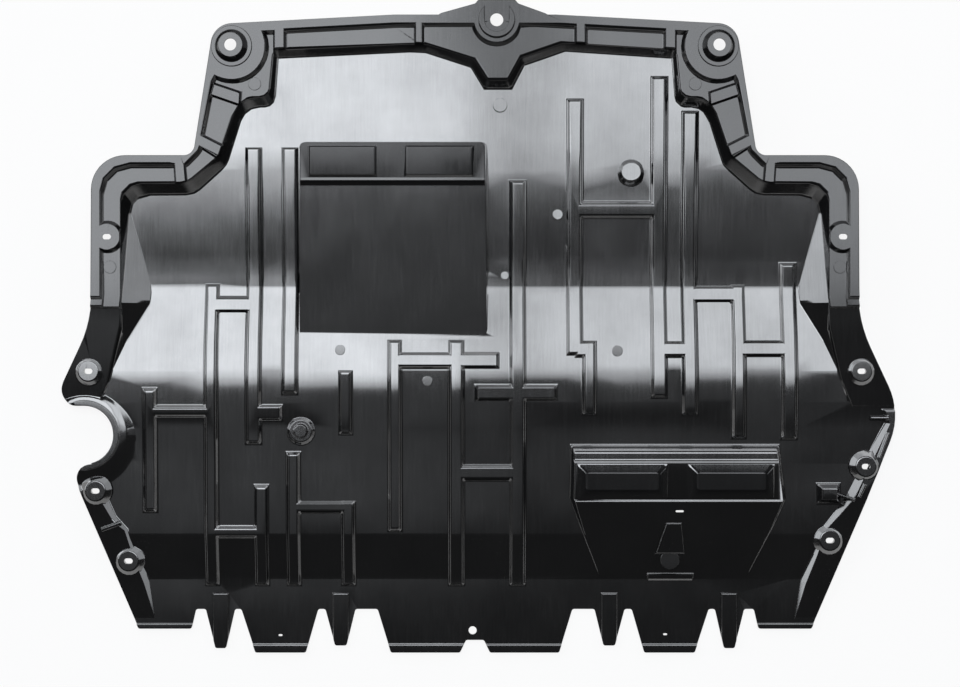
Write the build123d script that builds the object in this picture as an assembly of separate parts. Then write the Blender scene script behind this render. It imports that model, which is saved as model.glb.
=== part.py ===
# Engine splash shield: one black plastic sheet, formed in one piece, that closes the engine bay from
# below. It lies with its tub side up, as it comes to rest on a flat surface. X runs across the car,
# Y from the front tabs to the rear lug, and Z up towards the engine. All sizes are millimetres.
# The sheet is the difference of two bodies made by the same functions: everything below its upper
# face, and everything below its lower face, which is the upper one moved inwards by the wall.
import os
from math import atan, atan2, ceil, cos, hypot, pi, radians, sin, tan

from build123d import *

# Sheet
wall = 2.5
ground_z = wall

# Floor, seen from the side: folds across the sheet, front to rear, with the upper face's height
nose_fold_y = 86.0
ramp_fold_y = 134.5
ramp_fold_z = 10.6
apron_y = 215.0
apron_z = 12.3
brow_y = 255.0
brow_z = 14.0
crest_y = 284.0
crest_z = 16.3
top_y = 319.0
top_z = 17.1
slope_y = 353.0
slope_z = 13.9
valley_y = 412.5
mid_fold_y = 545.0
mid_fold_z = 12.3
rear_slope = 0.0433
ramp_round = 30.0
valley_round = 35.0

# Outline, right half. The neck is the step from the rear part to the wider shoulders.
shoulder_x = 426.0
shoulder_y = 559.0
shoulder_round = 38.0
waist_y = 376.0
waist_round = 150.0
lobe_x = 478.0
lobe_y = 272.0
lobe_round = 76.0
neck_x = 313.0
neck_round = 12.0
rear_corner_x = 290.0
rear_corner_drop = 10.5
rear_corner_round = 24.0
rear_edge_x = 90.0
neck_length = 156.0

# Front tabs and the narrow fingers between them
tab_y = 1.0
side_tab_y = 28.0
side_tab_x = 380.0
notch_y = 50.0
finger_y = 9.0
outer_finger_y = 6.0
centre_notch_y = 15.0
comb_round = 2.8
lip_height = 1.8
lip_depth = 9.5
finger_strip = 1.8

# Rim: a flange, one step down to a terrace, then the drafted wall down to the floor
rim_z = 35.0
terrace_step = 5.0
terrace_lean = 0.7
flange = 9.5
terrace = 22.0
side_step = 3.5
side_step_run = 3.0
side_landing = 7.0
skirt_terrace_step = 3.0
skirt_end_z = 19.5
wall_lean_front = 0.55
wall_lean_side = 0.25
wall_round = 4.0
inner_round = 12.0

# Holes and what surrounds them
corner_bore = 13.5
corner_hole_inset = 20.0
corner_hole_drop = 24.5
corner_seat_r = 37.0
corner_pad_r = 22.5
corner_pad_height = 2.0
corner_cone_r = 18.0
corner_cone_top_r = 13.4
corner_cone_height = 8.0
lug_bore = 14.5
lug_x = 24.2
lug_inset = 5.7
lug_r = 30.0
lug_seat_r = 25.0
lug_ring_r = 20.0
lug_ring_inner_r = 13.8
lug_ring_height = 5.0
slot_length = 9.6
slot_width = 6.0
slot_seat_r = 14.5
side_seat_r = 14.8
side_seat_top_r = 11.4
side_seat_height = 3.2
front_hole = 9.0
slit_width = 2.2

# Notch in the left edge, for a shaft or a pipe
notch_r = 32.5
notch_x = -437.0
notch_centre_y = 247.7
notch_tip_round = 18.0
collar_r = 55.0
collar_top_r = 40.0
collar_height = 6.0
bead_r = 38.5
bead_height = 8.0

# Side skirts, in front of the rim
skirt_front_y = 38.0
skirt_step_y = 180.0
skirt_step_z = 18.0
skirt_rear_z = 19.2
skirt_lean = 1.2

# Ribs on the floor
rib_height = 4.5
rib_wide = 18.0
rib_narrow = 15.5
rib_slim = 13.5
rib_draft_run = 2.9

# Raised panels
rear_panel_left = -198.0
rear_panel_right = 14.5
rear_panel_front = 360.6
rear_panel_step_y = 526.5
rear_panel_back = 576.5
rear_panel_step = 3.0
rear_panel_angle = 5.0
front_panel_toe = 84.5
front_panel_edge = 173.5
front_panel_edge_z = 25.2
front_panel_step_y = 219.5
front_panel_back = 239.5

# What follows from these, and room for the construction solids
rear_edge_y = shoulder_y + neck_length
rear_corner_y = rear_edge_y - rear_corner_drop
corner_x = rear_corner_x - corner_hole_inset
corner_y = rear_corner_y - corner_hole_drop
lug_y = rear_edge_y - lug_inset
side_step_y = waist_y + 26.0
skirt_end_y = lobe_y + 28.0
collar_foot_z = crest_z - 2
half_span = 1.2 * lobe_x
front_end_y = tab_y - 2 * notch_y
rear_end_y = lug_y + 3 * lug_r
below = -1.2 * rim_z
high = 2.6 * rim_z
sunk = 1.5
chord_turn = radians(30)
round_sides = 20


def floor_line():
    """Side profile of the floor's upper face, front to rear. A fold with a radius is eased by a flat strip."""
    rear_end_z = mid_fold_z + rear_slope * (rear_end_y - mid_fold_y)
    folds = [(front_end_y, ground_z, 0), (nose_fold_y, ground_z, ramp_round),
             (ramp_fold_y, ramp_fold_z, ramp_round), (apron_y, apron_z, 0), (brow_y, brow_z, 0),
             (crest_y, crest_z, 0), (top_y, top_z, 0), (slope_y, slope_z, 0), (valley_y, ground_z, valley_round),
             (mid_fold_y, mid_fold_z, 0), (rear_end_y, rear_end_z, 0)]
    line = [folds[0][:2]]
    for (y0, z0, _), (y, z, radius), (y1, z1, _) in zip(folds, folds[1:], folds[2:]):
        if radius == 0:
            line.append((y, z))
            continue
        slope_in = (z - z0) / (y - y0)
        slope_out = (z1 - z) / (y1 - y)
        reach = radius * abs(atan(slope_out) - atan(slope_in)) / 2
        line += [(y - reach, z - slope_in * reach), (y + reach, z + slope_out * reach)]
    return line + [folds[-1][:2]]


def rim_line(lowered):
    """Side profile of the flange, or of the terrace below it. Its side steps down in two short ramps."""
    upper = rim_z - (terrace_step if lowered else 0.0)
    first_y = side_step_y - side_step_run
    second_y = first_y - side_landing
    skirt_z = rim_z - 2 * side_step - (skirt_terrace_step if lowered else 0.0)
    landing_z = (upper + skirt_z) / 2
    end_z = skirt_end_z - (skirt_terrace_step / 2 if lowered else 0.0)
    slope = (skirt_z - end_z) / (second_y - side_step_run - skirt_end_y)
    return [(front_end_y, below / 2), (skirt_end_y - 30.0, below / 2), (skirt_end_y - 20.0, end_z - 20.0 * slope),
            (second_y - side_step_run, skirt_z), (second_y, landing_z), (first_y, landing_z),
            (side_step_y, upper), (rear_end_y, upper)]


def skirt_line():
    """Side profile of the skirts: flat at the tabs, then up to the level of the rim's end."""
    slope = (skirt_step_z - ground_z) / (skirt_step_y - skirt_front_y)
    start_y = skirt_front_y - 10.0
    return [(front_end_y, below / 2), (start_y - 1.0, below / 2), (start_y, ground_z - 10.0 * slope),
            (skirt_step_y, skirt_step_z), (rear_end_y, skirt_rear_z)]


def height_at(line, y):
    """Height of a side profile at y."""
    for (y0, z0), (y1, z1) in zip(line, line[1:]):
        if y <= y1:
            return z0 + (z1 - z0) * (y - y0) / (y1 - y0)
    return line[-1][1]


def block(line, skin):
    """Everything below a side profile, across the whole width."""
    corners = [(line[0][0], below)] + line + [(line[-1][0], below)]
    face = make_face(Plane.YZ * Polyline(*corners, close=True))
    return extrude(face, amount=half_span, both=True).moved(Location((0, 0, -skin)))


def mirrored(points):
    """A right half, then its mirror image in the other order."""
    return list(points) + [(-point[0], *point[1:]) for point in reversed(points)]


def flat_face(points):
    return Face(Wire.make_polygon([Vector(*point) for point in points]))


def skinned(sections):
    """Closed solid through sections with the same number of points, with flat faces between them."""
    faces = [flat_face(sections[0]), flat_face(sections[-1])]
    for near, far in zip(sections, sections[1:]):
        for i in range(len(near)):
            faces.append(flat_face([near[i - 1], near[i], far[i], far[i - 1]]))
    return Solid(Shell(faces))


def chords(before, corner, after):
    """Points of one rounded corner (x, y, radius), as short chords."""
    x, y, radius = corner
    if radius == 0:
        return [(x, y)]
    heading = atan2(y - before[1], x - before[0])
    turn = (atan2(after[1] - y, after[0] - x) - heading + pi) % (2 * pi) - pi
    side = 1 if turn > 0 else -1
    reach = radius * tan(abs(turn) / 2)
    centre_x = x - reach * cos(heading) - side * radius * sin(heading)
    centre_y = y - reach * sin(heading) + side * radius * cos(heading)
    steps = ceil(abs(turn) / chord_turn)
    angles = [heading - side * pi / 2 + turn * step / steps for step in range(steps + 1)]
    return [(centre_x + radius * cos(angle), centre_y + radius * sin(angle)) for angle in angles]


def rounded(corners):
    """Corners (x, y, radius) as plain points, anticlockwise, with each round corner as short chords."""
    area = sum(x0 * y1 - x1 * y0 for (x0, y0, _), (x1, y1, _) in zip(corners, corners[1:] + corners[:1]))
    if area < 0:
        corners = corners[::-1]
    points = []
    for i, corner in enumerate(corners):
        points += chords(corners[i - 1], corner, corners[(i + 1) % len(corners)])
    return points


def shifted(points, move):
    """Anticlockwise points with each side moved outwards by move(normal_x, normal_y)."""
    sides = []
    for (x0, y0), (x1, y1) in zip(points, points[1:] + points[:1]):
        length = hypot(x1 - x0, y1 - y0)
        normal_x = (y1 - y0) / length
        normal_y = (x0 - x1) / length
        sides.append((normal_x, normal_y, normal_x * x0 + normal_y * y0 + move(normal_x, normal_y)))
    moved = []
    for (a0, b0, c0), (a1, b1, c1) in zip(sides[-1:] + sides[:-1], sides):
        cross = a0 * b1 - a1 * b0
        moved.append(((c0 * b1 - c1 * b0) / cross, (a0 * c1 - a1 * c0) / cross))
    return moved


def at_level(points, z):
    return [(x, y, z) for x, y in points]


def tapered(plan, low, top, lean, skin):
    """Solid on an anticlockwise plan whose sides lean in by lean for each millimetre up."""
    base = shifted(plan, lambda *_: -side_shift(skin, lean))
    crown = shifted(base, lambda *_: -lean * (top - low))
    return skinned([at_level(base, low - skin), at_level(crown, top - skin)])


def lean_of(normal_x, normal_y):
    """How far a wall of the tub runs inwards for each millimetre down."""
    return wall_lean_side * abs(normal_x) + wall_lean_front * abs(normal_y)


def side_shift(skin, lean):
    """How far a wall with this lean moves sideways when the sheet's other face is taken."""
    return skin * tan(atan2(1.0, lean) / 2)


def prism(corners, low, top, grow=0.0):
    """Upright solid on corners (x, y, radius)."""
    points = [(x, y) for x, y, _ in corners]
    face = make_face(FilletPolyline(*points, radius=[radius for _, _, radius in corners], close=True))
    if grow:
        face = offset(face, grow, kind=Kind.INTERSECTION)
    return extrude(Pos(0, 0, low) * face, top - low)


def drum(x, y, low, top, radius, top_radius=None):
    """Upright cylinder or cone."""
    if top_radius is None:
        return Solid.make_cylinder(radius, top - low, Plane((x, y, low)))
    return Solid.make_cone(radius, top_radius, top - low, Plane((x, y, low)))


def facet_drum(x, y, low, top, radius, top_radius=None):
    """Upright cylinder or cone with flat sides, for small round marks and seats."""
    turns = [2 * pi * (i + 0.5) / round_sides for i in range(round_sides)]
    rings = [(low, radius), (top, radius if top_radius is None else top_radius)]
    return skinned([[(x + r * cos(a), y + r * sin(a), z) for a in turns] for z, r in rings])


# Outline


def comb():
    """Front edge, right half, from the outer tab to the centre: tabs, fingers and the notches between."""
    edge = [(side_tab_x, side_tab_y), (320, side_tab_y), (315, notch_y), (304, notch_y), (293, outer_finger_y),
            (281, outer_finger_y), (271, notch_y), (264, notch_y), (248, tab_y), (191, tab_y), (177, notch_y),
            (169, notch_y), (158, finger_y), (145, finger_y), (135, notch_y), (110, notch_y), (95, tab_y),
            (17, tab_y), (10, centre_notch_y)]
    corners = [(lobe_x, lobe_y, 0)] + [(x, y, comb_round) for x, y in edge]
    corners.append((-corners[-1][0], centre_notch_y, 0))
    points = []
    for i in range(1, len(corners) - 1):
        points += chords(corners[i - 1], corners[i], corners[i + 1])
    return [(x, y, 0) for x, y in points]


def outline():
    half = [(rear_edge_x, rear_edge_y, 60), (rear_corner_x, rear_corner_y, rear_corner_round),
            (neck_x, shoulder_y, neck_round), (shoulder_x, shoulder_y, shoulder_round),
            (shoulder_x + 1, waist_y, waist_round), (lobe_x, lobe_y, lobe_round)] + comb()
    sheet = prism(mirrored(half), below, high)
    wide = 2 * lug_r + 2
    lug = prism([(lug_x - wide, rear_edge_y - lug_r, 0), (lug_x + wide, rear_edge_y - lug_r, 0),
                 (lug_x + wide - 4, rear_edge_y, 8), (lug_x + 0.8 * lug_r, lug_y + 0.6 * lug_r, 0),
                 (lug_x - 0.8 * lug_r, lug_y + 0.6 * lug_r, 0), (lug_x - wide - 6, rear_edge_y, 8)], below, high)
    return sheet + lug + drum(lug_x, lug_y, below, high, lug_r) - edge_notch()


def edge_notch():
    """The cut-out in the left edge, with both of its tips rounded."""
    top = notch_centre_y + notch_r
    bottom = notch_centre_y - notch_r
    rise = (lobe_x - shoulder_x) / (waist_y - lobe_y)
    fall = (lobe_x - side_tab_x) / (lobe_y - side_tab_y)
    cut = drum(notch_x, notch_centre_y, below, high, notch_r)
    cut += prism([(notch_x, bottom, 0), (notch_x, top, 0), (-half_span, top, 0), (-half_span, bottom, 0)],
                 below, high)
    for y, lobe_gap, lean, side in ((top, top - lobe_y, rise, 1), (bottom, lobe_y - bottom, fall, -1)):
        radius = notch_tip_round
        x = -lobe_x + (lobe_gap + radius) * lean + radius * hypot(1, lean)
        edge_x = x - radius * cos(atan(lean))
        edge_y = y + side * radius * (1 + sin(atan(lean)))
        corner = prism([(x, y - side, 0), (-half_span, y - side, 0), (-half_span, edge_y, 0), (edge_x, edge_y, 0),
                        (x, y + side * radius, 0)], below, high)
        cut += corner - drum(x, y + side * radius, below, high, radius)
    return cut


# Rim


def terrace_plan(skin):
    """The stepped-down part of the rim, with the seats round the holes left at flange level."""
    top = rear_edge_y - flange
    side = shoulder_x - flange
    half = [(rear_edge_x - 18, top, 0), (rear_corner_x - 78, top - 7.5, 0), (rear_corner_x - 34, top - 9.5, 0),
            (rear_corner_x - 2, top - 55.5, 0), (rear_corner_x + 2, top - 62.5, 0),
            (neck_x - flange, shoulder_y + 24, 8), (neck_x - 6, shoulder_y + 6, 8),
            (neck_x + 10, shoulder_y - 10, 8), (neck_x + 26, shoulder_y - flange, 0),
            (side, shoulder_y - flange, shoulder_round - 5), (side, waist_y + 24, 0), (side + 5, waist_y - 24, 0),
            (side + 8, waist_y - 43, 0), (side - 12, waist_y - 50, 0)]
    foot_z = rim_z - terrace_step - skin
    crown_z = rim_z - skin
    run = terrace_lean * terrace_step
    grow = side_shift(skin, terrace_lean)
    crown = shifted(rounded(mirrored(half)), lambda *_: grow)
    foot = shifted(crown, lambda *_: -run)
    cut = skinned([at_level(foot, foot_z), at_level(crown, crown_z), at_level(crown, high)])
    seats = [(-corner_x, corner_y, corner_seat_r), (corner_x, corner_y, corner_seat_r),
             (lug_x, lug_y, lug_seat_r)] + [(x, y, slot_seat_r) for x, y in rear_slots()]
    for x, y, radius in seats:
        seat = drum(x, y, foot_z, crown_z, radius - grow + run, radius - grow)
        cut -= seat + drum(x, y, crown_z - sunk, high, radius - grow)
    return cut


def bars():
    """Bridges that cross the terrace at flange level: an anchor point, then four corners from it."""
    rear = (rear_corner_x, rear_edge_y)
    neck = (neck_x, shoulder_y)
    half = [(rear, [(-80, -75), (-65.5, -75), (-65.5, -7), (-80, -7)]),
            (rear, [(0.5, -74.9), (-30.5, -85.3), (-29.5, -101.5), (5, -89.5)]),
            (neck, [(5, 31), (-49, 3.5), (-39, -12), (10, 19.5)]),
            (neck, [(9.5, 1), (23, 1), (20, -44), (5.5, -44)])]
    centre = [((lug_x, rear_edge_y), [(-91.7, -75), (-80.7, -75), (-80.7, -3), (-91.7, -3)]),
              ((lug_x, rear_edge_y), [(86.8, -75), (100.3, -75), (100.3, -3), (86.8, -3)])]
    plans = [[(x + u, y + v) for u, v in corners] for (x, y), corners in half + centre]
    return plans + [[(-x, y) for x, y in plan] for plan in plans[:len(half)]]


def rim_bars(skin):
    top = rim_z - skin
    lean = 0.4
    solids = []
    for bar_plan in bars():
        base = shifted(rounded([(x, y, 0) for x, y in bar_plan]), lambda *_: -side_shift(skin, lean))
        crown = shifted(base, lambda *_: -lean * terrace_step)
        low = top - terrace_step - sunk
        solids.append(skinned([at_level(base, low), at_level(base, low + sunk), at_level(crown, top)]))
    return solids


def tub_plan():
    """Upper edge of the tub's wall, where it meets the terrace."""
    deep = wall_round + wall_lean_front * rim_z
    top = rear_edge_y
    side = shoulder_x - flange - terrace
    far = half_span - 5
    right = [(lug_x + 12.8, top - 71.5, 0), (lug_x + 26.8, top - 46, 0), (lug_x + 73.8, top - 30, 0),
             (rear_corner_x - 66, top - 38, 0), (rear_corner_x - 61, top - 91, inner_round),
             (rear_corner_x - 28, top - 91, deep), (neck_x - 29, shoulder_y + 1, inner_round),
             (neck_x + 8, shoulder_y - 30, inner_round * 2), (side, shoulder_y - 30.5, deep),
             (side, waist_y + 24, 0), (side + 3, waist_y - 6, 0), (lobe_x - 66, lobe_y + 46, 0),
             (lobe_x - 30, lobe_y - 32, 0), (far, lobe_y - 92, 0), (far, front_end_y + 5, 0)]
    left = [(-x, y, radius) for x, y, radius in reversed(right[3:])]
    return right + left + [(lug_x - 97.2, top - 31, 0), (lug_x - 76.2, top - 32, 0), (lug_x - 25.2, top - 48, 0),
                           (lug_x - 10.2, top - 71.5, 0)]


def tub(skin):
    """The space above the floor and inside the drafted wall."""
    edge = shifted(rounded(tub_plan()), lambda *n: side_shift(skin, lean_of(*n)))
    top = rim_z - terrace_step - skin
    foot_z = below / 4
    foot = shifted(edge, lambda *n: -lean_of(*n) * (top - foot_z))
    return skinned([at_level(foot, foot_z), at_level(edge, top), at_level(edge, high)])


def sloped_fill(skin, side, corners, y_range, drop):
    """Wall panel with a gentle slope: what lies below the terrace and below the plane through three corners."""
    near, far = side * (shoulder_x - 96), side * (shoulder_x + 14)
    plan = prism([(near, y_range[0], 0), (far, y_range[0], 0), (far, y_range[1], 0), (near, y_range[1], 0)],
                 below, high)
    a, b, c = (Vector(side * x, y, z - drop) for x, y, z in corners)
    normal = (b - a).cross(c - a)
    if normal.Z < 0:
        normal = -normal
    return (block(rim_line(True), skin) & plan).split(Plane(a, z_dir=normal), keep=Keep.BOTTOM)


def side_fills(skin):
    """Two sloped panels on each side that meet on one ridge: one beside the valley, one up to the crest."""
    ridge_y = side_step_y - side_step_run - side_landing / 2
    top_x = shoulder_x - 29
    foot_x = shoulder_x - 60
    rear_x, rear_y = shoulder_x - 36, shoulder_y - 54
    front_x, front_y = lobe_x - 67, lobe_y + 33
    top = (top_x, ridge_y, rim_z - terrace_step)
    foot = (foot_x, ridge_y, height_at(floor_line(), ridge_y))
    drop = skin * hypot(1, (top[2] - foot[2]) / (top_x - foot_x))
    rear = (rear_x, rear_y, height_at(floor_line(), rear_y))
    front = (front_x, front_y, height_at(floor_line(), front_y))
    solids = []
    for side in (-1, 1):
        solids.append(sloped_fill(skin, side, (top, foot, rear), (ridge_y, rear_y + 7), drop))
        solids.append(sloped_fill(skin, side, (top, foot, front), (skirt_end_y - 15, ridge_y), drop))
    return solids


def rim(skin):
    upper = block(rim_line(False), skin) - terrace_plan(skin)
    return (block(rim_line(True), skin) + upper + rim_bars(skin)) - tub(skin) + side_fills(skin)


# Floor


def rib(x, width, front, back, skin):
    """Rib from front to rear that follows the folds of the floor, with drafted sides and ends."""
    line = floor_line()
    run = rib_draft_run
    inset = side_shift(skin, run / rib_height)
    half = width / 2 - inset
    first = front + inset
    last = back - inset
    spread = half + run * sunk / rib_height
    stations = [first - sunk] + [y for y, _ in line if first < y < last] + [last + sunk]
    sections = []
    for y in stations:
        z = height_at(line, y)
        sections.append([(x - spread, y, z - sunk), (x + spread, y, z - sunk),
                         (x + half - run, y, z + rib_height), (x - half + run, y, z + rib_height)])
    solid = skinned(sections)
    for y, way in ((first, -1), (last, 1)):
        solid = solid.split(Plane((x, y, height_at(line, y)), z_dir=(0, way * rib_height, run)), keep=Keep.BOTTOM)
    return solid.moved(Location((0, 0, -skin)))


def bar(x_range, y_range, height, run, line, skin, depth=sunk):
    """Low pad or cross rib on a side profile, with four drafted sides."""
    inset = side_shift(skin, run / height)
    left, right = x_range[0] + inset, x_range[1] - inset
    front, back = y_range[0] + inset, y_range[1] - inset
    reach = run * depth / height
    top = [front + run] + [y for y, _ in line if front + run < y < back - run] + [back - run]
    side = [(front - reach, height_at(line, front) - depth)]
    side += [(y, height_at(line, y) + height) for y in top]
    side.append((back + reach, height_at(line, back) - depth))
    solid = skinned([[(x, y, z) for y, z in side] for x in (left - reach, right + reach)])
    middle = (front + back) / 2
    slope = (height_at(line, back) - height_at(line, front)) / (back - front)
    for x, way in ((left, -1), (right, 1)):
        plane = Plane((x, middle, height_at(line, middle)), z_dir=(way * height, -slope * run, run))
        solid = solid.split(plane, keep=Keep.BOTTOM)
    return solid.moved(Location((0, 0, -skin)))


def long_ribs():
    """Ribs from front to rear: x, width, front end, rear end."""
    wide = [(-248.5, 237, 570), (-207.5, 293, 570), (112, 337, 624), (48, 77, 533), (206.5, 289, 649),
            (241, 269.5, 610.5), (352.5, 242.5, 440.5), (-21, 77, 354)]
    narrow = [(128, 270, 353), (-364.5, 160.5, 300), (-296, 77, 417), (-240, 77, 191), (-204, 77, 228),
              (-142.5, 77, 173), (-90, 139, 354), (296, 243.5, 416), (-145, 248, 320)]
    return [(x, rib_wide, a, b) for x, a, b in wide] + [(x, rib_narrow, a, b) for x, a, b in narrow]


def cross_ribs():
    """Ribs from side to side: left end, right end, middle line, width."""
    wide = [(-296, -248.5, 394), (112, 206.5, 500), (112, 130, 343.5), (206.5, 241, 343.5), (241, 296, 405.5),
            (296, 352.5, 344), (-248.5, -216, 272.5), (-90, -21, 331), (-21, 27, 331), (0, 48, 294.5),
            (48, 92, 294.5), (-21, 48, 205)]
    narrow = [(-364.5, -296, 274), (-204, -142.5, 166), (-296, -240, 138)]
    return [(*place, rib_wide) for place in wide] + [(*place, rib_slim) for place in narrow]


def floor_ribs(skin):
    line = floor_line()
    solids = [rib(x, width, front, back, skin) for x, width, front, back in long_ribs()]
    for left, right, y, width in cross_ribs():
        solids.append(bar((left, right), (y - width / 2, y + width / 2), rib_height, rib_draft_run, line, skin))
    return solids


def floor_bosses(skin):
    """Round bosses on the floor: x, y, foot radius, top radius, height. The small ones are solid."""
    line = floor_line()
    solids = []
    knob_x, knob_y = -195.2, 252.1
    for x, y, foot, top, height in ((175.2, 542.4, 14.6, 10.7, 5.0), (knob_x, knob_y, 15.7, 12.5, 4.0)):
        z = height_at(line, y) - skin
        lean = (foot - top) / height
        inset = side_shift(skin, lean)
        solids.append(facet_drum(x, y, z - sunk, z + height, foot - inset + lean * sunk, top - inset))
    if skin:
        return solids
    knob_z = height_at(line, knob_y)
    solids.append(facet_drum(knob_x, knob_y, knob_z, knob_z + 9.0, 9.4, 7.0))
    for x, y, radius in ((93.1, 495.0, 5.6), (33.7, 426.6, 4.5), (-53.3, 307.8, 5.6), (159.7, 341.6, 6.0),
                         (-151.3, 342.7, 5.6), (28.1, 617.2, 7.9)):
        z = height_at(line, y)
        solids.append(facet_drum(x, y, z - sunk, z + 1.6, radius))
    return solids


# Raised panels


def rear_panel_line():
    """Side profile of the rear raised panel: smooth face, small step, head band with two pads."""
    foot_z = height_at(floor_line(), rear_panel_front)
    slope = tan(radians(rear_panel_angle))
    face_z = foot_z + (rear_panel_step_y - rear_panel_front) * slope
    ramp = 1.5 * rear_panel_step
    band_y = rear_panel_step_y + ramp
    band_z = face_z + rear_panel_step
    end_y = rear_panel_back + 15.0
    return [(rear_panel_front - 40, below / 2), (rear_panel_front, foot_z), (rear_panel_step_y, face_z),
            (band_y, band_z + 0.5), (band_y + 3.5, band_z), (end_y, band_z + slope * (end_y - band_y - 3.5))]


def rear_panel(skin):
    line = rear_panel_line()
    lean = 0.12
    foot_z = ground_z + 1.5
    crown_z = line[-1][1] + 1.0
    head_round = 1.0 + lean * (crown_z - foot_z) + side_shift(wall, lean)
    front = rear_panel_front - 8.6
    plan = rounded([(rear_panel_left, front, 12), (rear_panel_right, front, 12),
                    (rear_panel_right, rear_panel_back, head_round), (rear_panel_left, rear_panel_back, head_round)])
    solids = [block(line, skin) & tapered(plan, foot_z + skin, crown_z + skin, lean, skin)]
    middle = (rear_panel_left + rear_panel_right) / 2
    for near, far in ((14, 90), (-93, -18)):
        solids.append(bar((middle + near, middle + far), (rear_panel_step_y + 9.5, rear_panel_back - 7), 2.8, 1.6,
                          line, skin))
    return solids


def front_panel_line():
    """Side profile of the front raised panel: long slope, lipped edge, frame band, step, strip and ramp."""
    floor = floor_line()
    edge_y, edge_z = front_panel_edge, front_panel_edge_z
    step_y = front_panel_step_y
    return [(front_panel_toe - 24, below / 2), (front_panel_toe, ground_z), (edge_y - 2, edge_z - 0.6),
            (edge_y, edge_z), (edge_y + 2, edge_z - 0.8), (step_y - 3, edge_z), (step_y, edge_z - 2.6),
            (step_y + 9.5, edge_z - 2.4), (front_panel_back, height_at(floor, front_panel_back)),
            (front_panel_back + 10, below / 2)]


def front_panel(skin):
    line = front_panel_line()
    back, edge, toe = front_panel_back + 1.5, front_panel_edge, front_panel_toe - 9.5
    plan = rounded([(102, back, 0), (346, back, 0), (354, edge, 0), (340.5, edge - 30, 0), (303, toe, 0),
                    (143, toe, 0), (117, edge - 40, 0), (101, edge + 1.5, 0)])
    lean = 0.3
    body = tapered(plan, below / 6, 37.0, lean, skin)
    solids = [block(line, skin) & body]
    for x_range in ((114.5, 214.5), (238.5, 334.0)):
        solids.append(bar(x_range, (edge + 4, front_panel_step_y - 4.5), 5.0, 9.0, line, skin, depth=0.5))
    return solids


def panel_latch():
    """Tapered tongue on the front panel's slope, with a half-round foot and a bar at the slope's toe."""
    line = front_panel_line()
    rear_y, front_y = front_panel_edge - 21, front_panel_edge - 60
    tongue = [(rear_y + 20, below / 2), (rear_y, height_at(line, rear_y) + 1.0),
              (front_y, height_at(line, front_y) + 4.5), (front_y - 4, height_at(line, front_y - 4) + 1.0),
              (front_y - 20, below / 2)]
    plan = [(211.5, rear_y), (199.5, front_y - 2), (238.0, front_y - 2), (234.5, rear_y)]
    foot_y = front_y - 7
    foot_z = height_at(line, foot_y)
    return [block(tongue[::-1], 0) & tapered(plan, 0, rim_z, 0.2, 0),
            drum(219.3, foot_y, foot_z - 1.2, foot_z + 2.6, 10.5),
            bar((194.7, 246.1), (front_panel_toe - 3.5, front_panel_toe + 6), 2.2, 1.0, line, 0)]


# Seats, lips and pads along the edges


def rear_slots():
    return [(side * (shoulder_x - 17.3), shoulder_y - 90.5) for side in (-1, 1)]


def side_slots():
    crest_x, crest_slot_y = lobe_x - 46.2, lobe_y + 47
    return [(-crest_x, crest_slot_y), (crest_x, crest_slot_y), (-424.6, 185.0), (437.4, 212.4), (-389.3, 105.6),
            (398.3, 129.0)]


def surface_z(y):
    """Upper face outside the tub's wall."""
    return max(height_at(line, y) for line in (floor_line(), rim_line(False), skirt_line()))


def slot_seats():
    """Round seats under the screw heads along both sides."""
    solids = []
    slope = (side_seat_r - side_seat_top_r) / side_seat_height
    for x, y in side_slots():
        top = surface_z(y) + side_seat_height
        low = top - 2 * side_seat_height
        solids.append(facet_drum(x, y, low, top, side_seat_top_r + slope * (top - low), side_seat_top_r))
    return solids


def notch_collar(skin):
    """Sloped collar round the notch."""
    slope = collar_height / (collar_r - collar_top_r)
    inset = side_shift(skin, 1 / slope)
    reach = 12.0
    low = collar_foot_z - skin
    return drum(notch_x, notch_centre_y, low - reach * slope, low + collar_height, collar_r - inset + reach,
                collar_top_r - inset)


def notch_bead():
    """Bead along the notch's edge."""
    return drum(notch_x, notch_centre_y, collar_foot_z, collar_foot_z + bead_height, bead_r)


def side_skirts(skin):
    """Raised skirts in front of the rim, on both sides, each with a sloped inner wall."""
    rear_y = lobe_y + 30
    toe = [(372, 150, 0), (366, 115, 0), (358, 82, 0), (350, skirt_front_y - 8, 0)]
    right = [(lobe_x - 58, rear_y, 0), (lobe_x - 44, lobe_y - 10, 0), (399, 188, 0), (388, 172, 0)] + toe
    left = [(lobe_x - 72, 214, 0), (386, 166, 0)] + toe
    solids = []
    for side, inner in ((1, right), (-1, left)):
        far = half_span - 10
        plan = inner + [(far, inner[-1][1], 0), (far, inner[0][1], 0)]
        plan = rounded([(side * x, y, radius) for x, y, radius in plan])
        solids.append(block(skirt_line(), skin) & tapered(plan, ground_z - 8, rim_z, skirt_lean, skin))
    return solids


def ridge(start, end, width, height, line, crown=0.33):
    """Thin raised line or slanted block between two points on a side profile."""
    (x0, y0), (x1, y1) = start, end
    length = hypot(x1 - x0, y1 - y0)
    u, v = (y0 - y1) / length * width / 2, (x1 - x0) / length * width / 2
    sections = []
    for x, y in (start, end):
        z = height_at(line, y)
        sections.append([(x - u, y - v, z - sunk), (x + u, y + v, z - sunk), (x + crown * u, y + crown * v, z + height),
                         (x - crown * u, y - crown * v, z + height)])
    return skinned(sections)


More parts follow.
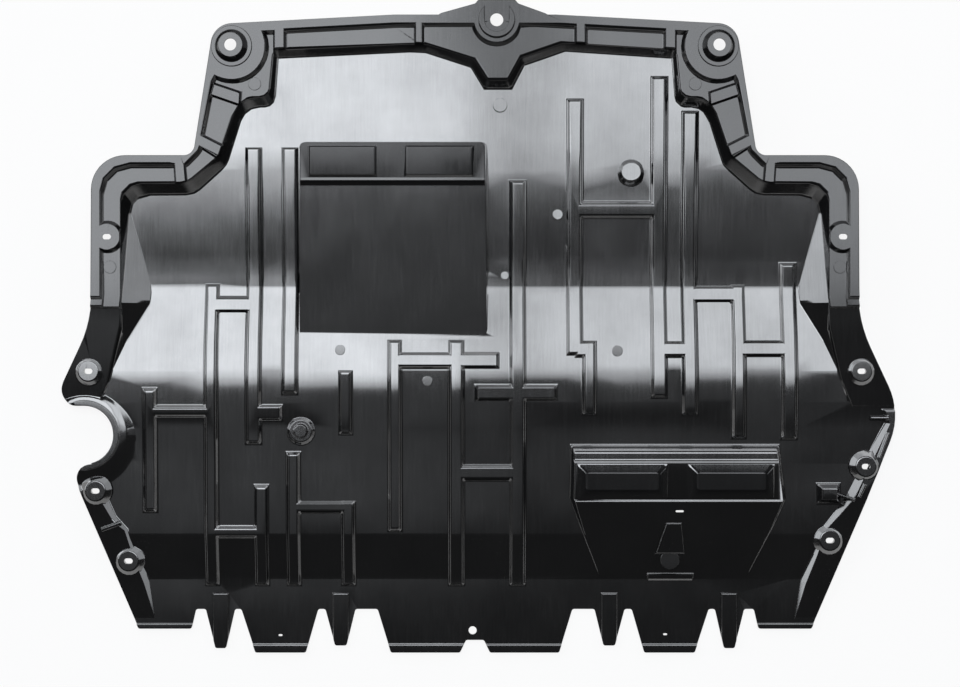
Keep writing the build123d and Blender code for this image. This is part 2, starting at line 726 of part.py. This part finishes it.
def skirt_details():
    """Blocks and thin ridges on the skirts."""
    line = skirt_line()
    solids = [bar((387.5, 406.6), (173.6, 189.3), 3.0, 1.4, line, 0, depth=7),
              ridge((-394, 150), (-372, 158), 16, 3.0, line, 0.8)]
    for start, end, width in (((403, 182.5), (425.5, 174.4), 4.5), ((430.5, 178), (437, 192), 4.5),
                              ((463, 250), (452.5, 222), 4.5), ((443, 266.5), (463, 266.5), 6.0),
                              ((-419, 141), (-397, 149), 6.0)):
        solids.append(ridge(start, end, width, 2.2, line))
    return solids


def mould_discs():
    """Four low round marks on the terrace."""
    z = rim_z - terrace_step
    return [facet_drum(side * x, y, z - 1, z + 1.0, 7.0) for side in (-1, 1) for x, y in ((245, 638.7), (406, 435))]


def front_lips():
    """Low raised strip along the tip of every tab, and one along the middle of every finger."""
    line = floor_line()
    solids = [bar((-309, 309), (front_end_y + 20, tab_y + lip_depth), lip_height, 0.8, line, 0)]
    for side in (-1, 1):
        x_range = sorted((side * 309, side * (side_tab_x + 20)))
        solids.append(bar(x_range, (front_end_y + 20, side_tab_y + lip_depth - 3), lip_height, 0.8, line, 0))
        for x, tip in ((287, outer_finger_y), (151.5, finger_y)):
            solids.append(bar((side * x - 9, side * x + 9), (tip - 15, 68), finger_strip, 0.8, line, 0))
    return solids


def corner_bosses(skin):
    """Raised pad and cone round each of the two rear corner holes."""
    solids = []
    inset = side_shift(skin, (corner_cone_r - corner_cone_top_r) / corner_cone_height)
    pad_z = rim_z + corner_pad_height - skin
    for x in (-corner_x, corner_x):
        solids.append(drum(x, corner_y, rim_z - sunk - skin, pad_z, corner_pad_r - skin))
        solids.append(drum(x, corner_y, pad_z, pad_z + corner_cone_height, corner_cone_r - inset,
                           corner_cone_top_r - inset))
    return solids


def lug_ring():
    """Horseshoe ring round the rear centre hole, open to the rear."""
    ring = drum(lug_x, lug_y, rim_z - sunk, rim_z + lug_ring_height, lug_ring_r)
    ring -= drum(lug_x, lug_y, rim_z, high, lug_ring_inner_r)
    opening = prism([(lug_x - lug_ring_inner_r, lug_y, 0), (lug_x + lug_ring_inner_r, lug_y, 0),
                     (lug_x + lug_ring_inner_r, rear_end_y, 0), (lug_x - lug_ring_inner_r, rear_end_y, 0)],
                    rim_z, high)
    return ring - opening


def holes():
    """Everything that goes right through the sheet."""
    cuts = [drum(x, corner_y, below, high, corner_bore / 2) for x in (-corner_x, corner_x)]
    cuts.append(drum(lug_x, lug_y, below, high, lug_bore / 2))
    cuts.append(drum(-2.7, tab_y + 25, below, high, front_hole / 2))
    for x, y in rear_slots() + side_slots():
        cuts.append(extrude(Pos(x, y, below) * SlotOverall(slot_length, slot_width), high - below))
    for x, y, length in ((228.8, front_panel_edge - 11, 9.0), (-219.7, 20.5, 4.5), (214.8, 21.5, 4.5)):
        cuts.append(extrude(Pos(x, y, below) * SlotOverall(length, slit_width), high - below))
    return cuts


# The sheet


def envelope(skin):
    """Everything below the upper face, or below the lower face when skin is the wall."""
    body = block(floor_line(), skin) + rim(skin) + side_skirts(skin) + floor_ribs(skin)
    body += floor_bosses(skin) + rear_panel(skin) + front_panel(skin) + corner_bosses(skin)
    return body + notch_collar(skin)


def splash_shield():
    extras = front_lips() + slot_seats() + skirt_details() + mould_discs() + panel_latch()
    upper = envelope(0.0) + extras + [notch_bead(), lug_ring()]
    sheet = (upper & outline()) - envelope(wall) - holes()
    solid = max(sheet.solids(), key=lambda piece: piece.volume)
    box = solid.bounding_box()
    return solid.moved(Location((-(box.min.X + box.max.X) / 2, -(box.min.Y + box.max.Y) / 2, -box.min.Z)))


os.makedirs("parts", exist_ok=True)
shield = splash_shield()
export_step(shield, "parts/splash_shield.step")
print("size", shield.bounding_box().size, "volume", round(shield.volume), "valid", shield.is_valid)
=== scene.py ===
from math import pi, radians, sin

import bpy
from mathutils import Matrix, Vector
from mathutils.bvhtree import BVHTree


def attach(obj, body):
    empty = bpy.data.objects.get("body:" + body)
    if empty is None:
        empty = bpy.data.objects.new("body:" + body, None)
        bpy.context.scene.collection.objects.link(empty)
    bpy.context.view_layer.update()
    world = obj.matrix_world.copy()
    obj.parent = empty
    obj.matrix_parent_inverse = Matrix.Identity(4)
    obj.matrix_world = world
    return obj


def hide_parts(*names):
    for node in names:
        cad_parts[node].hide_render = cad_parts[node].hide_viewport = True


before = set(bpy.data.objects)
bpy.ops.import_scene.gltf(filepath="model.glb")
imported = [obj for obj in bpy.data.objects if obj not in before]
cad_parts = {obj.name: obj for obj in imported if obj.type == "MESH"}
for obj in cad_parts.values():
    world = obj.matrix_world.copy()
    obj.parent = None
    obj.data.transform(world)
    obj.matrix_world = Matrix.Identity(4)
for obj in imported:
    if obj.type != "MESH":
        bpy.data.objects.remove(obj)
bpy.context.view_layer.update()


def deselectAll():
    for item in bpy.context.selected_objects:
        item.select_set(False)


def addNode(tree, kind, place, **values):
    node = tree.nodes.new(kind)
    node.location = place
    for key, value in values.items():
        setattr(node, key, value)
    return node


# Black plastic: streaks from forming along Y, cloudy gloss, slight waves, a little dust

plasticLook = {
    "base": (0.005, 0.005, 0.0053, 1.0),
    "dust": (0.11, 0.105, 0.1, 1.0),
    "roughness": 0.125,
    "specular": 0.5,
    "coatRoughness": 0.1,
    "coatIor": 2.0,
    "rimFoot": 0.0265,
    "rimTop": 0.0295,
    "rimCover": 0.12,
    "floorFrom": 0.99,
    "lugPlace": (0.0195, 0.3, 0.0),
    "lugCore": 0.05,
    "lugReach": 0.13,
    "lugCover": 0.0,
    "coverLevel": 0.84,
    "noiseRange": (0.3, 0.7),
    "streakScale": (800.0, 30.0, 30.0),
    "streakGloss": 0.045,
    "streakCover": 0.05,
    "streakHeight": 0.0000045,
    "waveScale": 16.0,
    "waveHeight": 0.00022,
    "cloudScale": 16.0,
    "cloudGloss": 0.03,
    "cloudCover": 0.14,
    "dustScale": 900.0,
    "dustRange": (0.68, 0.76),
    "patchScale": 14.0,
    "patchRange": (0.45, 0.7),
    "dustAmount": 0.5,
}


def noise(tree, vector, scale, detail, place):
    node = addNode(tree, "ShaderNodeTexNoise", place)
    node.inputs["Scale"].default_value = scale
    node.inputs["Detail"].default_value = detail
    tree.links.new(vector, node.inputs["Vector"])
    return node.outputs["Fac"]


def ranged(tree, value, reach, newLow, place):
    node = addNode(tree, "ShaderNodeMapRange", place)
    for name, number in (("From Min", reach[0]), ("From Max", reach[1]), ("To Min", newLow), ("To Max", 1.0)):
        node.inputs[name].default_value = number
    tree.links.new(value, node.inputs["Value"])
    return node.outputs["Result"]


def combined(tree, kind, first, second, place):
    node = addNode(tree, "ShaderNodeMath", place, operation=kind)
    for socket, value in zip(node.inputs, (first, second)):
        if isinstance(value, float):
            socket.default_value = value
        else:
            tree.links.new(value, socket)
    return node.outputs["Value"]


def makeSurfaceGroup():
    look = plasticLook
    tree = bpy.data.node_groups.new("formedSurface", "ShaderNodeTree")
    tree.interface.new_socket(name="Vector", in_out="INPUT", socket_type="NodeSocketVector")
    for name in ("Plain", "Dust"):
        tree.interface.new_socket(name=name, in_out="INPUT", socket_type="NodeSocketColor")
    for name in ("Dust Amount", "Gloss", "Streak Gloss", "Cloud Gloss", "Streak Cover", "Cloud Cover",
                 "Streak Height", "Wave Height", "Rim Foot", "Rim Top", "Rim Cover", "Lug Reach",
                 "Lug Cover"):
        tree.interface.new_socket(name=name, in_out="INPUT", socket_type="NodeSocketFloat")
    tree.interface.new_socket(name="Color", in_out="OUTPUT", socket_type="NodeSocketColor")
    for name in ("Roughness", "Height", "Cover"):
        tree.interface.new_socket(name=name, in_out="OUTPUT", socket_type="NodeSocketFloat")
    start = addNode(tree, "NodeGroupInput", (-1200, 0))
    end = addNode(tree, "NodeGroupOutput", (800, 0))
    stretch = addNode(tree, "ShaderNodeMapping", (-1000, 200))
    stretch.inputs["Scale"].default_value = look["streakScale"]
    tree.links.new(start.outputs["Vector"], stretch.inputs["Vector"])
    streaks = noise(tree, stretch.outputs["Vector"], 1.0, 3.0, (-800, 200))
    streaks = ranged(tree, streaks, look["noiseRange"], -1.0, (-600, 200))
    clouds = noise(tree, start.outputs["Vector"], look["cloudScale"], 4.0, (-800, -50))
    clouds = ranged(tree, clouds, look["noiseRange"], -1.0, (-600, -50))
    waves = noise(tree, start.outputs["Vector"], look["waveScale"], 1.5, (-800, -300))
    specks = noise(tree, start.outputs["Vector"], look["dustScale"], 2.0, (-800, -550))
    specks = ranged(tree, specks, look["dustRange"], 0.0, (-600, -550))
    patches = noise(tree, start.outputs["Vector"], look["patchScale"], 3.0, (-800, -800))
    patches = ranged(tree, patches, look["patchRange"], 0.0, (-600, -800))
    dust = combined(tree, "MULTIPLY", specks, patches, (-400, -600))
    dust = combined(tree, "MULTIPLY", dust, start.outputs["Dust Amount"], (-200, -600))
    color = addNode(tree, "ShaderNodeMix", (200, -300), data_type="RGBA")
    tree.links.new(dust, color.inputs["Factor"])
    tree.links.new(start.outputs["Plain"], color.inputs["A"])
    tree.links.new(start.outputs["Dust"], color.inputs["B"])
    tree.links.new(color.outputs["Result"], end.inputs["Color"])
    gloss = combined(tree, "MULTIPLY", streaks, start.outputs["Streak Gloss"], (-400, 200))
    cloudy = combined(tree, "MULTIPLY", clouds, start.outputs["Cloud Gloss"], (-400, 0))
    gloss = combined(tree, "ADD", gloss, cloudy, (-200, 100))
    gloss = combined(tree, "ADD", gloss, start.outputs["Gloss"], (0, 100))
    tree.links.new(gloss, end.inputs["Roughness"])
    ridges = combined(tree, "MULTIPLY", streaks, start.outputs["Streak Height"], (-200, 400))
    swell = combined(tree, "MULTIPLY", waves, start.outputs["Wave Height"], (-200, -200))
    tree.links.new(combined(tree, "ADD", ridges, swell, (200, 300)), end.inputs["Height"])
    # the clamped rim and the raised panels are duller than the drawn floor, and dullest round the rear lug
    parts = addNode(tree, "ShaderNodeSeparateXYZ", (-1000, -1000))
    tree.links.new(start.outputs["Vector"], parts.inputs["Vector"])
    rim = addNode(tree, "ShaderNodeMapRange", (-600, -1000))
    for name, socket in (("Value", parts.outputs["Z"]), ("From Min", start.outputs["Rim Foot"]),
                         ("From Max", start.outputs["Rim Top"]), ("To Max", start.outputs["Rim Cover"])):
        tree.links.new(socket, rim.inputs[name])
    rim.inputs["To Min"].default_value = 1.0
    flat = addNode(tree, "ShaderNodeVectorMath", (-800, -1250), operation="MULTIPLY")
    flat.inputs[1].default_value = (1.0, 1.0, 0.0)
    tree.links.new(start.outputs["Vector"], flat.inputs[0])
    away = addNode(tree, "ShaderNodeVectorMath", (-600, -1250), operation="DISTANCE")
    away.inputs[1].default_value = look["lugPlace"]
    tree.links.new(flat.outputs["Vector"], away.inputs[0])
    lug = addNode(tree, "ShaderNodeMapRange", (-400, -1250), interpolation_type="SMOOTHSTEP")
    for name, socket in (("Value", away.outputs["Value"]), ("From Max", start.outputs["Lug Reach"]),
                         ("To Min", start.outputs["Lug Cover"])):
        tree.links.new(socket, lug.inputs[name])
    lug.inputs["From Min"].default_value = look["lugCore"]
    lug.inputs["To Max"].default_value = 1.0
    onRim = combined(tree, "MULTIPLY", rim.outputs["Result"], lug.outputs["Result"], (-200, -1100))
    isFloor = combined(tree, "GREATER_THAN", rim.outputs["Result"], look["floorFrom"], (-200, -1300))
    cover = combined(tree, "MAXIMUM", onRim, isFloor, (0, -1100))
    fine = combined(tree, "MULTIPLY", streaks, start.outputs["Streak Cover"], (0, -700))
    broad = combined(tree, "MULTIPLY", clouds, start.outputs["Cloud Cover"], (0, -900))
    change = combined(tree, "ADD", fine, broad, (200, -700))
    change = combined(tree, "ADD", change, look["coverLevel"], (400, -700))
    tree.links.new(combined(tree, "MULTIPLY", cover, change, (600, -900)), end.inputs["Cover"])
    return tree


def makePlastic():
    material = bpy.data.materials.new("blackPlastic")
    material.use_nodes = True
    tree = material.node_tree
    shader = tree.nodes["Principled BSDF"]
    shader.inputs["Specular IOR Level"].default_value = plasticLook["specular"]
    shader.inputs["Coat IOR"].default_value = plasticLook["coatIor"]
    shader.inputs["Coat Roughness"].default_value = plasticLook["coatRoughness"]
    place = addNode(tree, "ShaderNodeTexCoord", (-900, 0))
    surface = addNode(tree, "ShaderNodeGroup", (-600, 0), node_tree=makeSurfaceGroup())
    for name, key in (("Plain", "base"), ("Dust", "dust"), ("Dust Amount", "dustAmount"),
                      ("Gloss", "roughness"), ("Streak Gloss", "streakGloss"), ("Cloud Gloss", "cloudGloss"),
                      ("Streak Cover", "streakCover"), ("Cloud Cover", "cloudCover"),
                      ("Streak Height", "streakHeight"), ("Wave Height", "waveHeight"),
                      ("Rim Foot", "rimFoot"), ("Rim Top", "rimTop"), ("Rim Cover", "rimCover"),
                      ("Lug Reach", "lugReach"), ("Lug Cover", "lugCover")):
        surface.inputs[name].default_value = plasticLook[key]
    tree.links.new(place.outputs["Object"], surface.inputs["Vector"])
    bump = addNode(tree, "ShaderNodeBump", (-300, -300))
    bump.inputs["Distance"].default_value = 1.0
    tree.links.new(surface.outputs["Color"], shader.inputs["Base Color"])
    tree.links.new(surface.outputs["Roughness"], shader.inputs["Roughness"])
    tree.links.new(surface.outputs["Cover"], shader.inputs["Coat Weight"])
    tree.links.new(surface.outputs["Height"], bump.inputs["Height"])
    tree.links.new(bump.outputs["Normal"], shader.inputs["Normal"])
    return material


blackPlastic = makePlastic()
print("materials made")


# Moulded sheet: the solid's own faces with rounded edges

sheetLook = {
    "node": "splash_shield",
    "weld": 0.00012,
    "flatAngle": radians(0.3),
    "edgeRound": 0.003,
    "innerShare": 0.6,
    "edgeSteps": 3,
    "edgeAngle": radians(22),
    "room": 0.4,
    "forkAngle": radians(15),
    "shadeAngle": radians(35),
    "facetAngle": radians(0.5),
    "sliver": 0.0000005,
    "stray": 0.0009,
}

# The two folds in the rear half of the floor: long soft curves in place of the solid's short flat strips
foldLook = {
    "solidLine": ((-0.01715, 0.0139), (0.03775, 0.00338), (0.04695, 0.00284), (0.17485, 0.0123),
                  (0.33485, 0.01928)),
    "slopes": ((0.032, -0.1916), (0.045, 0.04), (0.09, 0.074), (0.152, 0.074), (0.198, 0.0436)),
    "cuts": (0.032, 0.0353, 0.0385, 0.0418, 0.045, 0.054, 0.063, 0.072, 0.081, 0.09, 0.152, 0.175, 0.198),
    "snap": 0.0004,
    "ribTop": 0.006,
    "clear": 0.011,
}


def solidFloor(y):
    for (y0, z0), (y1, z1) in zip(foldLook["solidLine"], foldLook["solidLine"][1:]):
        if y <= y1:
            return z0 + (z1 - z0) * (y - y0) / (y1 - y0)


def softFloor(y):
    slopes = foldLook["slopes"]
    z = solidFloor(slopes[0][0])
    for (y0, slope0), (y1, slope1) in zip(slopes, slopes[1:]):
        run = max(0.0, min(y, y1) - y0)
        z += slope0 * run + (slope1 - slope0) / (y1 - y0) * run ** 2 / 2
    return z


def easeFolds(mesh):
    look = foldLook
    bpy.ops.object.mode_set(mode="EDIT")
    for cut in look["cuts"]:
        bpy.ops.mesh.select_all(action="SELECT")
        bpy.ops.mesh.bisect(plane_co=(0, cut, 0), plane_no=(0, 1, 0), threshold=look["snap"])
    bpy.ops.object.mode_set(mode="OBJECT")
    for vertex in mesh.vertices:
        y, z = vertex.co.y, vertex.co.z
        if look["cuts"][0] < y < look["cuts"][-1]:
            share = (look["clear"] - z + solidFloor(y)) / (look["clear"] - look["ribTop"])
            vertex.co.z += (softFloor(y) - solidFloor(y)) * min(1.0, max(0.0, share))


def facetNormals(mesh):
    # triangles in one plane count as one facet, and a corner takes the facets round it by their areas
    faces = mesh.polygons
    touching = {}
    for face in faces:
        for key in face.edge_keys:
            touching.setdefault(key, []).append(face.index)
    facetOf = [-1] * len(faces)
    facets = []
    for seed in sorted(range(len(faces)), key=lambda index: -faces[index].area):
        if facetOf[seed] >= 0:
            continue
        normal = faces[seed].normal.copy()
        facetOf[seed] = len(facets)
        area, queue = 0.0, [seed]
        while queue:
            face = faces[queue.pop()]
            area += face.area
            for key in face.edge_keys:
                for other in touching[key]:
                    bend = faces[other].normal.angle(normal, pi)
                    if facetOf[other] < 0 and bend < sheetLook["facetAngle"]:
                        facetOf[other] = len(facets)
                        queue.append(other)
        facets.append((normal, area))
    around = [set() for vertex in mesh.vertices]
    for face in faces:
        for vertex in face.vertices:
            around[vertex].add(facetOf[face.index])
    normals = []
    for face in faces:
        own, area = facets[facetOf[face.index]]
        if area < sheetLook["sliver"]:
            near = [facets[other] for vertex in face.vertices for other in around[vertex]]
            own = max(near, key=lambda item: item[1])[0]
        for vertex in face.vertices:
            total = Vector((0, 0, 0))
            for other in around[vertex]:
                normal, area = facets[other]
                if normal.angle(own, pi) < sheetLook["shadeAngle"]:
                    total += normal * area
            normals.append(total.normalized() if total.length > 0 else own)
    mesh.normals_split_custom_set(normals)
    print("facets", len(facets))


def roundedShare(mesh):
    # each sharp edge gets the share of the full rounding that its neighbours leave room for, inner corners
    # less, and two edges that run out side by side stay sharp
    points = [vertex.co for vertex in mesh.vertices]
    lengths = [(points[edge.vertices[0]] - points[edge.vertices[1]]).length for edge in mesh.edges]
    beside = [[] for edge in mesh.edges]
    room = [1.0] * len(mesh.edges)
    for face in mesh.polygons:
        edges = [mesh.loops[loop].edge_index for loop in face.loop_indices]
        corners = list(face.vertices)
        width = 2 * face.area / sum(lengths[edge] for edge in edges)
        for number, edge in enumerate(edges):
            beside[edge].append(face)
            after = edges[(number + 1) % len(edges)]
            back, here, ahead = (points[corners[(number + step) % len(corners)]] for step in range(3))
            bend = (back - here).angle(ahead - here, pi)
            slack = 0.0 if bend < sheetLook["forkAngle"] else sin(min(bend, pi / 2))
            room[edge] = min(room[edge], width, slack * lengths[after])
            room[after] = min(room[after], slack * lengths[edge])
    shares = []
    for edge in mesh.edges:
        faces = beside[edge.index]
        if len(faces) != 2 or faces[0].normal.angle(faces[1].normal, 0.0) < sheetLook["edgeAngle"]:
            shares.append(0.0)
            continue
        inner = (faces[1].center - faces[0].center).dot(faces[0].normal) > 0
        full = sheetLook["innerShare"] if inner else 1.0
        shares.append(min(full, sheetLook["room"] * room[edge.index] / sheetLook["edgeRound"]))
    return shares


def putBackStrays(mesh, bare):
    # a corner that the rounding threw clear of the sheet goes back onto it
    strays = 0
    for vertex in mesh.vertices:
        place, normal, face, distance = bare.find_nearest(vertex.co)
        if distance > sheetLook["stray"]:
            vertex.co = place
            strays += 1
    print("strays put back", strays)


def mouldedSheet():
    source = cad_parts[sheetLook["node"]]
    deselectAll()
    source.select_set(True)
    bpy.context.view_layer.objects.active = source
    bpy.ops.object.duplicate()
    sheet = bpy.context.view_layer.objects.active
    sheet.name = "mouldedSheet"
    sheet.data.name = "mouldedSheet"
    bpy.ops.object.mode_set(mode="EDIT")
    bpy.ops.mesh.select_all(action="SELECT")
    bpy.ops.mesh.remove_doubles(threshold=sheetLook["weld"])
    bpy.ops.mesh.dissolve_degenerate(threshold=sheetLook["weld"])
    easeFolds(sheet.data)
    bpy.ops.object.mode_set(mode="EDIT")
    bpy.ops.mesh.select_all(action="SELECT")
    bpy.ops.mesh.dissolve_limited(angle_limit=sheetLook["flatAngle"])
    bpy.ops.object.mode_set(mode="OBJECT")
    print("merged", len(sheet.data.vertices), "vertices", len(sheet.data.polygons), "faces")
    shares = roundedShare(sheet.data)
    weights = sheet.data.attributes.new("bevel_weight_edge", "FLOAT", "EDGE")
    weights.data.foreach_set("value", shares)
    print("rounded edges", sum(share > 0 for share in shares))
    bpy.ops.object.mode_set(mode="EDIT")
    bpy.ops.mesh.quads_convert_to_tris(quad_method="BEAUTY", ngon_method="BEAUTY")
    bpy.ops.object.mode_set(mode="OBJECT")
    bare = BVHTree.FromPolygons([vertex.co.copy() for vertex in sheet.data.vertices],
                                [tuple(face.vertices) for face in sheet.data.polygons])
    bevel = sheet.modifiers.new("rounded edges", "BEVEL")
    bevel.width = sheetLook["edgeRound"]
    bevel.segments = sheetLook["edgeSteps"]
    bevel.limit_method = "WEIGHT"
    bevel.use_clamp_overlap = False
    bpy.ops.object.modifier_apply(modifier=bevel.name)
    putBackStrays(sheet.data, bare)
    bpy.ops.object.shade_smooth()
    facetNormals(sheet.data)
    sheet.data.materials.clear()
    sheet.data.materials.append(blackPlastic)
    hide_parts(sheetLook["node"])
    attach(sheet, "root")
    print("sheet", len(sheet.data.vertices), "vertices", len(sheet.data.polygons), "faces")
    return sheet


mouldedSheet()


# Floor

floorLook = {"size": 40.0, "color": (0.9, 0.9, 0.9, 1.0), "roughness": 0.9, "drop": 0.0003, "glow": 0.86}


def seenRays(tree, place):
    # what the camera sees straight, or by way of gloss or glass
    rays = addNode(tree, "ShaderNodeLightPath", place)
    seen = rays.outputs["Is Camera Ray"]
    for step, name in enumerate(("Is Glossy Ray", "Is Transmission Ray")):
        seen = combined(tree, "MAXIMUM", seen, rays.outputs[name], (place[0] + 200 * (step + 1), place[1]))
    return seen


def makeFloor():
    deselectAll()
    bpy.ops.mesh.primitive_plane_add(size=floorLook["size"], location=(0, 0, -floorLook["drop"]))
    floor = bpy.context.object
    floor.name = "floor"
    material = bpy.data.materials.new("paleFloor")
    material.use_nodes = True
    tree = material.node_tree
    shader = tree.nodes["Principled BSDF"]
    shader.inputs["Base Color"].default_value = floorLook["color"]
    shader.inputs["Roughness"].default_value = floorLook["roughness"]
    shader.inputs["Specular IOR Level"].default_value = 0.0
    # white to the camera and in reflections, with a share of plain floor that keeps the shadow
    seen = combined(tree, "MULTIPLY", seenRays(tree, (-600, 500)), floorLook["glow"], (0, 500))
    white = addNode(tree, "ShaderNodeEmission", (0, 300))
    both = addNode(tree, "ShaderNodeMixShader", (300, 300))
    tree.links.new(seen, both.inputs["Fac"])
    tree.links.new(shader.outputs["BSDF"], both.inputs[1])
    tree.links.new(white.outputs["Emission"], both.inputs[2])
    tree.links.new(both.outputs["Shader"], tree.nodes["Material Output"].inputs["Surface"])
    floor.data.materials.append(material)
    print("floor made")


makeFloor()


# Light: a ceiling of soft panels that fades out just in front of the sheet, and panels at the back and sides

lightLook = {
    "height": 7.0,
    "rows": [(-1.33, -0.19, 0.033), (-0.19, 0.1, 0.5), (0.1, 0.4, 0.8), (0.4, 3.7, 1.0)],
    "columns": [(-3.3, 0.0, 5.4), (0.0, 0.5, 2.9), (0.5, 3.3, 4.1)],
    "turn": radians(4.2),
    "tint": (0.95, 0.985, 1.03),
    "backRadiance": 1.8,
    "sideRadiance": {-1: 3.0, 1: 1.5},
    "reach": 9.0,
    "world": 0.035,
    "horizon": 0.2,
}


def addPanel(name, place, turn, width, depth, radiance):
    lamp = bpy.data.lights.new(name, "AREA")
    lamp.shape = "RECTANGLE"
    lamp.size = width
    lamp.size_y = depth
    lamp.energy = radiance * pi * width * depth
    lamp.color = lightLook["tint"]
    holder = bpy.data.objects.new(name, lamp)
    bpy.context.scene.collection.objects.link(holder)
    holder.location = place
    holder.rotation_euler = turn


def makeLight():
    look = lightLook
    for front, back, share in look["rows"]:
        for left, right, radiance in look["columns"]:
            x, y = (left + right) / 2, (front + back) / 2
            place = Matrix.Rotation(look["turn"], 2) @ Vector((x, y))
            addPanel("ceilingPanel", (*place, look["height"]), (0, 0, look["turn"]), right - left,
                     back - front, radiance * share)
    addPanel("backPanel", (0, look["reach"], look["height"] / 2), (radians(-90), 0, 0),
             2 * look["reach"], look["height"], look["backRadiance"])
    for side, radiance in look["sideRadiance"].items():
        place = (side * look["reach"], look["reach"] / 2, look["height"] / 2)
        addPanel("sidePanel", place, (0, radians(90 * side), 0), look["height"], look["reach"], radiance)
    world = bpy.data.worlds.new("room")
    bpy.context.scene.world = world
    world.use_nodes = True
    tree = world.node_tree
    room = tree.nodes["Background"]
    level = look["world"]
    room.inputs["Color"].default_value = (level, level, level, 1.0)
    # pale backdrop low round the horizon, beyond the floor, to the camera and in reflections
    way = addNode(tree, "ShaderNodeTexCoord", (-900, 300))
    parts = addNode(tree, "ShaderNodeSeparateXYZ", (-700, 300))
    tree.links.new(way.outputs["Generated"], parts.inputs["Vector"])
    low = combined(tree, "LESS_THAN", parts.outputs["Z"], look["horizon"], (-500, 300))
    seen = seenRays(tree, (-900, 600))
    white = addNode(tree, "ShaderNodeBackground", (0, 100))
    both = addNode(tree, "ShaderNodeMixShader", (200, 300))
    white.inputs["Color"].default_value = (1.0, 1.0, 1.0, 1.0)
    tree.links.new(combined(tree, "MULTIPLY", seen, low, (-100, 500)), both.inputs["Fac"])
    tree.links.new(room.outputs["Background"], both.inputs[1])
    tree.links.new(white.outputs["Background"], both.inputs[2])
    tree.links.new(both.outputs["Shader"], tree.nodes["World Output"].inputs["Surface"])
    print("lights made")


makeLight()


# Camera

cameraLook = {"height": 1.818, "x": 0.0016, "y": -0.0202, "lens": 60.27, "sensor": 36.0}


def makeCamera():
    data = bpy.data.cameras.new("camera")
    data.lens = cameraLook["lens"]
    data.sensor_width = cameraLook["sensor"]
    camera = bpy.data.objects.new("camera", data)
    bpy.context.scene.collection.objects.link(camera)
    camera.location = (cameraLook["x"], cameraLook["y"], cameraLook["height"])
    camera.rotation_euler = (0, 0, 0)
    bpy.context.scene.camera = camera
    print("camera made")


makeCamera()
bpy.context.scene.view_settings.view_transform = "Standard"
